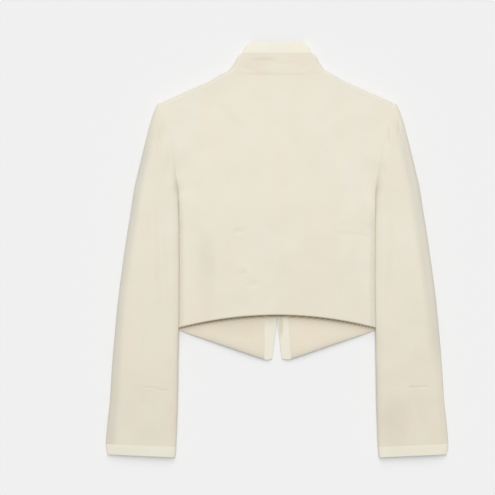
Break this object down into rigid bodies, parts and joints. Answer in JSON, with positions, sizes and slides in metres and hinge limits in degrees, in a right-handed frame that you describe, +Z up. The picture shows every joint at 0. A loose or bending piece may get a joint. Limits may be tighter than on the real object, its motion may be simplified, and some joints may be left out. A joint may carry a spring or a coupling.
{
  "type": "cropped jacket",
  "caption": "Cropped stand-collar jacket of plain cloth with light edging, laid flat on its front; pieces meet at seams and the body and sleeves are open inside.",
  "frame": {"origin": "middle of the jacket's bounding box, on the surface that it lies on", "axes": "+X across the jacket towards its right side in the picture, +Y from the hem to the collar, +Z up from the surface, out of the back panel"},
  "size_m": [0.5826, 0.7072, 0.0255],
  "materials": {
    "main_cloth": "matt cream twill cloth",
    "front_cloth": "matt inside face of the cream cloth, a little darker and warmer",
    "edging_cloth": "matt, lighter cream band"
  },
  "bodies": {
    "root": {"back": "main_cloth", "sleeve_left": "main_cloth", "sleeve_right": "main_cloth", "cuff_left": "main_cloth", "cuff_right": "main_cloth", "collar": "main_cloth", "front_left": "front_cloth", "front_right": "front_cloth", "collar_edging": "edging_cloth", "front_edging_left": "edging_cloth", "front_edging_right": "edging_cloth", "cuff_edging_left": "edging_cloth", "cuff_edging_right": "edging_cloth"}
  },
  "joints": []
}
